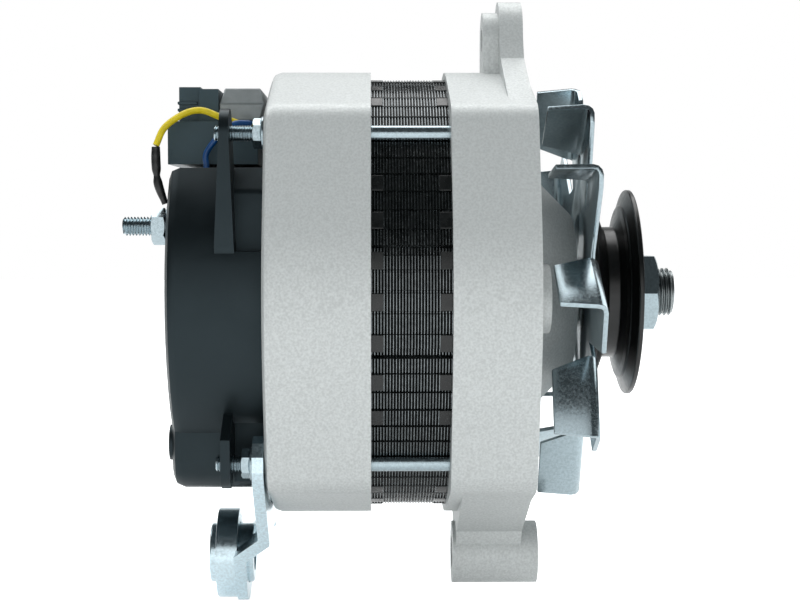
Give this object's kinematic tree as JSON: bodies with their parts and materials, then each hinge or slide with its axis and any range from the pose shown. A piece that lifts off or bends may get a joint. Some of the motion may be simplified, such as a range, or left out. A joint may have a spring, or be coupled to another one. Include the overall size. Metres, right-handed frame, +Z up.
{
  "type": "belt-driven claw-pole alternator",
  "caption": "Belt-driven alternator: cast housings round a laminated stator, outside fan and V pulley, rear cover with regulator, adjusting lug and hinge lugs.",
  "frame": {"origin": "centre of the shaft's threaded front end face", "axes": "+X along the shaft out of the pulley end, +Z up through the adjusting lug, -Y towards the side that the picture shows"},
  "size_m": [0.1773, 0.145, 0.1991],
  "materials": {
    "cast_aluminium": "sand-cast and blasted, fine grain",
    "lamination_stack": "black varnished sheet edges",
    "enamelled_copper": "varnished winding",
    "bearing_steel": "ground",
    "rotor_steel": "machined",
    "zinc_plated_steel": "bright zinc plating",
    "black_enamel": "gloss black paint",
    "black_nylon": "satin glass-filled moulding",
    "grey_aluminium": "satin",
    "slip_ring_copper": "turned",
    "carbon_brush": "pressed copper graphite",
    "diode_case": "plated",
    "yellow_insulation": "extruded",
    "blue_insulation": "extruded",
    "black_sleeving": "shrunk sleeve"
  },
  "bodies": {
    "alternator_body": {"front_housing": "cast_aluminium", "rear_housing": "cast_aluminium", "stator_core": "lamination_stack", "stator_winding": "enamelled_copper", "front_bearing_outer_ring": "bearing_steel", "rear_bearing_outer_ring": "bearing_steel", "through_bolt_1": "zinc_plated_steel", "through_bolt_2": "zinc_plated_steel", "through_bolt_3": "zinc_plated_steel", "through_bolt_4": "zinc_plated_steel", "through_bolt_nut_1": "zinc_plated_steel", "through_bolt_nut_2": "zinc_plated_steel", "through_bolt_nut_3": "zinc_plated_steel", "through_bolt_nut_4": "zinc_plated_steel", "bearing_retainer": "zinc_plated_steel", "retainer_screw_1": "zinc_plated_steel", "retainer_screw_2": "zinc_plated_steel", "retainer_screw_3": "zinc_plated_steel", "output_stud": "zinc_plated_steel", "output_nut": "zinc_plated_steel", "ring_terminal": "zinc_plated_steel", "rear_strap": "zinc_plated_steel", "brush_spring_inner": "zinc_plated_steel", "brush_spring_outer": "zinc_plated_steel", "rear_cover": "black_nylon", "regulator_case": "black_nylon", "brush_holder": "black_nylon", "terminal_board": "black_nylon", "regulator_heat_sink": "grey_aluminium", "negative_plate": "grey_aluminium", "positive_plate": "grey_aluminium", "negative_diode_1": "diode_case", "negative_diode_2": "diode_case", "negative_diode_3": "diode_case", "positive_diode_1": "diode_case", "positive_diode_2": "diode_case", "positive_diode_3": "diode_case", "yellow_lead": "yellow_insulation", "blue_lead": "blue_insulation", "lead_sleeve": "black_sleeving"},
    "rotor": {"rotor_shaft": "rotor_steel", "front_pole": "rotor_steel", "rear_pole": "rotor_steel", "coil_bobbin": "black_nylon", "field_winding": "enamelled_copper", "slip_ring_sleeve": "black_nylon", "inner_slip_ring": "slip_ring_copper", "outer_slip_ring": "slip_ring_copper", "front_bearing_inner_ring": "bearing_steel", "rear_bearing_inner_ring": "bearing_steel", "fan_spacer": "rotor_steel", "cooling_fan": "zinc_plated_steel", "drive_pulley": "black_enamel", "pulley_washer": "zinc_plated_steel", "pulley_nut": "zinc_plated_steel"},
    "front_balls": {"front_ball_set": "bearing_steel"},
    "rear_balls": {"rear_ball_set": "bearing_steel"},
    "inner_brush": {"brush_inner": "carbon_brush"},
    "outer_brush": {"brush_outer": "carbon_brush"},
    "pivot_bush": {"sliding_bush": "zinc_plated_steel"}
  },
  "joints": [
    {"name": "rotor_spin", "type": "hinge", "parent": "alternator_body", "child": "rotor", "pos_m": [0, 0, 0], "axis": [1, 0, 0], "continuous": true},
    {"name": "front_balls_roll", "type": "hinge", "parent": "alternator_body", "child": "front_balls", "pos_m": [-0.0478, 0, 0], "axis": [1, 0, 0], "continuous": true},
    {"name": "rear_balls_roll", "type": "hinge", "parent": "alternator_body", "child": "rear_balls", "pos_m": [-0.1283, 0, 0], "axis": [1, 0, 0], "continuous": true},
    {"name": "inner_brush_slide", "type": "slide", "parent": "alternator_body", "child": "inner_brush", "axis": [0, 0, 1], "range_m": [0, 0.0025], "stiffness_N_per_m": 400, "springref_m": -0.006, "deforming": ["brush_spring_inner"]},
    {"name": "outer_brush_slide", "type": "slide", "parent": "alternator_body", "child": "outer_brush", "axis": [0, 0, 1], "range_m": [0, 0.0025], "stiffness_N_per_m": 400, "springref_m": -0.006, "deforming": ["brush_spring_outer"]},
    {"name": "bush_slide", "type": "slide", "parent": "alternator_body", "child": "pivot_bush", "axis": [1, 0, 0], "range_m": [-0.0015, 0.0015]}
  ],
  "couplings": [
    {"joint": "front_balls_roll", "follows": "rotor_spin", "ratio": 0.37},
    {"joint": "rear_balls_roll", "follows": "rotor_spin", "ratio": 0.37}
  ]
}
